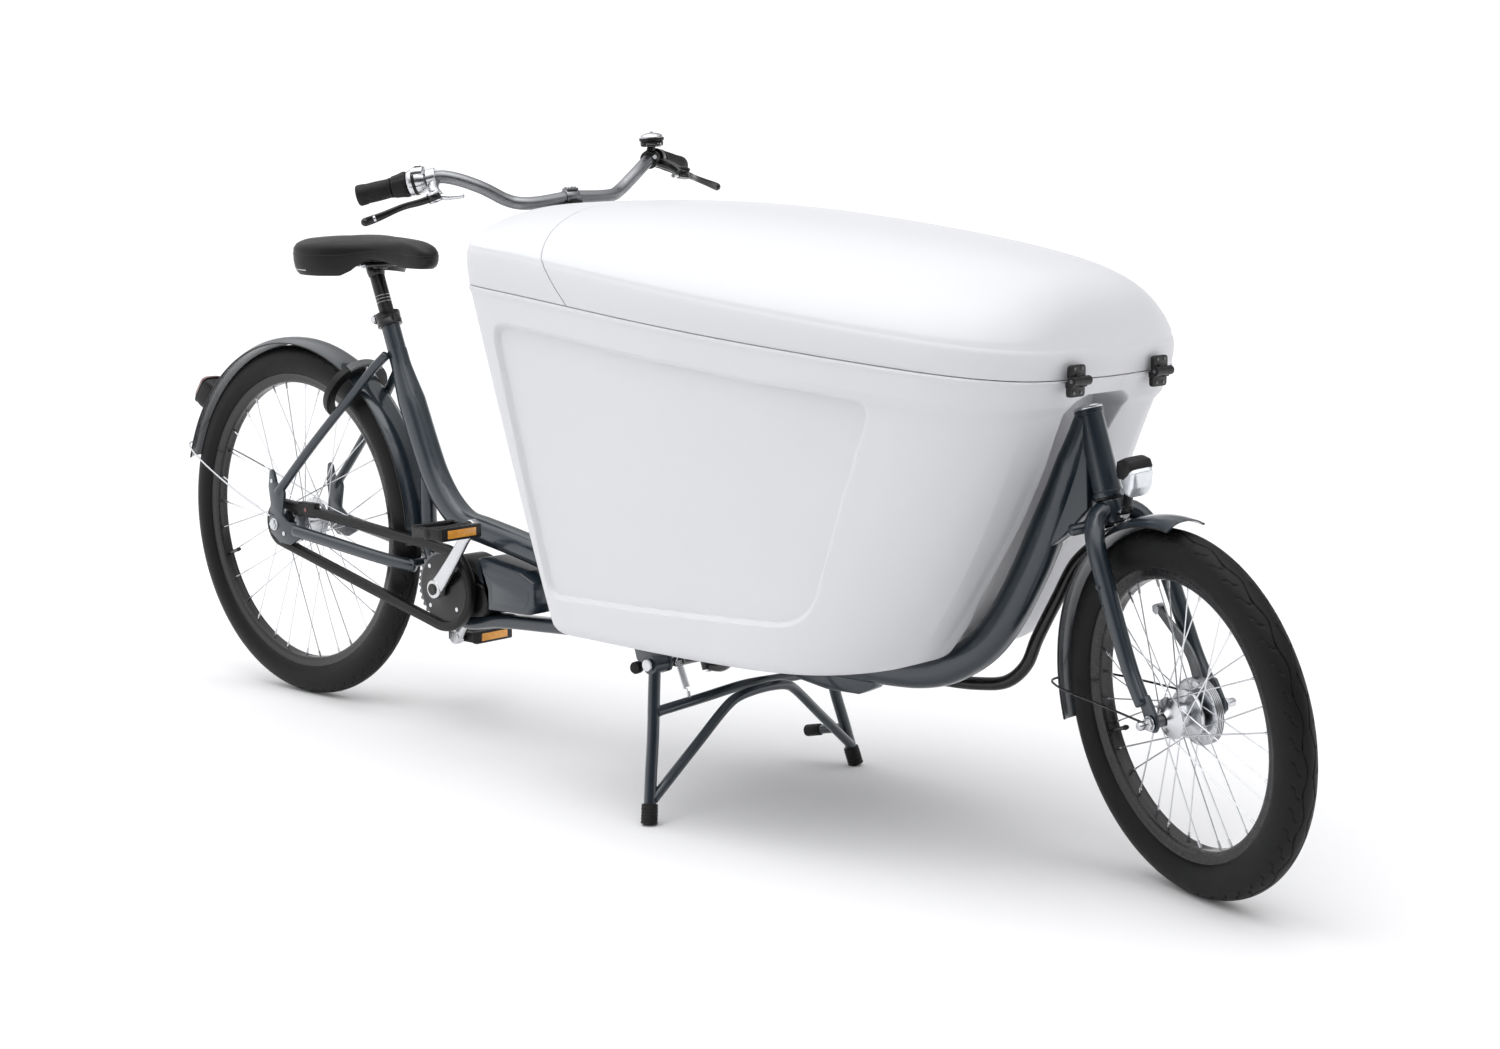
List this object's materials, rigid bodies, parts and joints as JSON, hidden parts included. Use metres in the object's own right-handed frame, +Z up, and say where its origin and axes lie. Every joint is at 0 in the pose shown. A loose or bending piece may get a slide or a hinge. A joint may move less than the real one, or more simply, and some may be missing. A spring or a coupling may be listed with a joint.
{
  "type": "cargo bicycle",
  "caption": "Front-loading cargo bicycle with a lidded white box ahead of the rider, rod steering, mid motor, chain guard and a two-legged centre stand.",
  "frame": {"origin": "on the ground, midway along the bicycle's overall length and midway across its overall width, which is 15.6 mm to the left of the frame's middle plane because the bars are turned", "axes": "+X forward along the bicycle, +Y to the rider's left, +Z up, out of the cargo box's inner floor"},
  "size_m": [2.5447, 0.6773, 1.0513],
  "materials": {
    "slate_paint": "gloss",
    "white_shell": "satin",
    "tyre_rubber": "matte",
    "black_rubber": "matte",
    "black_plastic": "satin",
    "black_metal": "satin",
    "silver_metal": "brushed",
    "bar_alloy": "satin",
    "saddle_cover": "satin"
  },
  "bodies": {
    "frame": {"main_frame": "slate_paint", "rear_triangle": "slate_paint", "seat_clamp": "black_metal", "mid_motor": "black_plastic", "battery_housing": "slate_paint", "rear_axle": "silver_metal", "rear_mudguard": "slate_paint", "rear_mudguard_stay": "silver_metal", "rear_light": "black_plastic", "ring_lock": "black_plastic", "chain_guard": "black_plastic", "chain": "silver_metal", "cargo_box": "white_shell", "box_rear_cowl": "white_shell", "hinge_base_right": "black_plastic", "hinge_base_left": "black_plastic", "stand_spring": "silver_metal"},
    "lid": {"cargo_lid": "white_shell", "hinge_leaf_right": "black_plastic", "hinge_leaf_left": "black_plastic"},
    "stand": {"kickstand": "slate_paint", "stand_foot_right": "black_rubber", "stand_foot_left": "black_rubber"},
    "seat": {"seatpost": "black_metal", "saddle_rails": "black_metal", "saddle": "saddle_cover"},
    "bars": {"steering_column": "black_metal", "handlebar": "bar_alloy", "bar_clamp": "bar_alloy", "grip_right": "black_rubber", "grip_left": "black_rubber", "brake_bracket_right": "silver_metal", "brake_bracket_left": "black_metal", "shifter_housing": "silver_metal", "bell": "black_metal"},
    "fork": {"fork": "slate_paint", "front_mudguard": "slate_paint", "front_mudguard_stay": "black_metal", "front_axle": "silver_metal", "front_brake": "silver_metal", "headlight_bracket": "black_metal"},
    "steering_rod": {"steering_rod": "black_metal"},
    "front_wheel": {"front_tyre": "tyre_rubber", "front_rim": "black_metal", "front_hub_spokes": "silver_metal"},
    "headlight": {"headlight": "black_plastic"},
    "rear_wheel": {"rear_tyre": "tyre_rubber", "rear_rim": "black_metal", "rear_hub_spokes": "silver_metal"},
    "crank": {"chainring": "black_metal", "crank_right": "silver_metal", "crank_left": "silver_metal"},
    "sprocket": {"rear_sprocket": "silver_metal"},
    "pedal_right": {"pedal_right": "black_plastic"},
    "pedal_left": {"pedal_left": "black_plastic"},
    "brake_lever_right": {"brake_lever_right": "black_metal"},
    "brake_lever_left": {"brake_lever_left": "black_metal"},
    "twist_shifter": {"twist_shifter": "black_rubber"},
    "bell_lever": {"bell_lever": "black_metal"},
    "ring_lock_bolt": {"ring_lock_bolt": "silver_metal"}
  },
  "joints": [
    {"name": "lid_hinge", "type": "hinge", "parent": "frame", "child": "lid", "pos_m": [0.9049, -0.0156, 0.7055], "axis": [0, 1, 0], "range_deg": [0, 75]},
    {"name": "kickstand_fold", "type": "hinge", "parent": "frame", "child": "stand", "pos_m": [0.1919, -0.0156, 0.239], "axis": [0, 1, 0], "range_deg": [0, 38], "deforming": ["stand_spring"]},
    {"name": "seat_height", "type": "slide", "parent": "frame", "child": "seat", "axis": [-0.3584, 0, 0.9336], "range_m": [-0.06, 0.04]},
    {"name": "steering", "type": "hinge", "parent": "frame", "child": "bars", "pos_m": [-0.1861, -0.0156, 0.944], "axis": [-0.2924, 0, 0.9563], "range_deg": [-11.5, 32]},
    {"name": "fork_steer", "type": "hinge", "parent": "frame", "child": "fork", "pos_m": [0.86619, -0.0156, 0.5997], "axis": [-0.2924, 0, 0.9563], "range_deg": [-18.2, 50.2]},
    {"name": "rod_turn", "type": "hinge", "parent": "bars", "child": "steering_rod", "pos_m": [0.01335, 0.08964, 0.17294], "axis": [-0.2924, 0, 0.9563], "range_deg": [-32.5, 12]},
    {"name": "front_wheel_spin", "type": "hinge", "parent": "fork", "child": "front_wheel", "pos_m": [1.03045, -0.03842, 0.2556], "axis": [0.3582, 0.9272, 0.1095], "continuous": true},
    {"name": "headlight_tilt", "type": "hinge", "parent": "fork", "child": "headlight", "pos_m": [0.93017, -0.0347, 0.55211], "axis": [0.3582, 0.9272, 0.1095], "range_deg": [-15, 15]},
    {"name": "rear_wheel_spin", "type": "hinge", "parent": "frame", "child": "rear_wheel", "pos_m": [-0.9391, -0.0156, 0.333], "axis": [0, 1, 0], "continuous": true},
    {"name": "crank_spin", "type": "hinge", "parent": "frame", "child": "crank", "pos_m": [-0.4801, -0.0156, 0.261], "axis": [0, 1, 0], "continuous": true},
    {"name": "sprocket_spin", "type": "hinge", "parent": "frame", "child": "sprocket", "pos_m": [-0.9391, -0.0626, 0.333], "axis": [0, 1, 0], "continuous": true},
    {"name": "pedal_right_spin", "type": "hinge", "parent": "crank", "child": "pedal_right", "pos_m": [-0.36286, -0.1506, 0.38411], "axis": [0, 1, 0], "continuous": true},
    {"name": "pedal_left_spin", "type": "hinge", "parent": "crank", "child": "pedal_left", "pos_m": [-0.59734, 0.1194, 0.13789], "axis": [0, 1, 0], "continuous": true},
    {"name": "brake_lever_right_pull", "type": "hinge", "parent": "bars", "child": "brake_lever_right", "pos_m": [-0.26336, -0.24205, 0.94723], "axis": [0.1864, 0.2737, -0.9436], "range_deg": [0, 14], "stiffness_Nm_per_rad": 2, "springref_deg": -17.19},
    {"name": "brake_lever_left_pull", "type": "hinge", "parent": "bars", "child": "brake_lever_left", "pos_m": [-0.15274, 0.21844, 0.98105], "axis": [-0.0738, 0.1951, 0.978], "range_deg": [0, 14], "stiffness_Nm_per_rad": 2, "springref_deg": -17.19},
    {"name": "twist_shift", "type": "hinge", "parent": "bars", "child": "twist_shifter", "pos_m": [-0.33661, -0.23448, 0.96826], "axis": [-0.7888, -0.5741, -0.2196], "range_deg": [-45, 45]},
    {"name": "bell_lever_push", "type": "hinge", "parent": "bars", "child": "bell_lever", "pos_m": [-0.16889, 0.17765, 1.02913], "axis": [-0.0084, -0.0712, 0.9974], "range_deg": [-20, 0], "stiffness_Nm_per_rad": 0.05, "springref_deg": 14.32},
    {"name": "ring_lock_turn", "type": "hinge", "parent": "frame", "child": "ring_lock_bolt", "pos_m": [-0.77244, -0.0156, 0.58963], "axis": [0.8387, 0, -0.5446], "range_deg": [-84, 0]}
  ],
  "couplings": [
    {"joint": "fork_steer", "follows": "steering", "ratio": 1.5603},
    {"joint": "rod_turn", "follows": "steering", "ratio": -1},
    {"joint": "sprocket_spin", "follows": "crank_spin", "ratio": 1.8889}
  ]
}
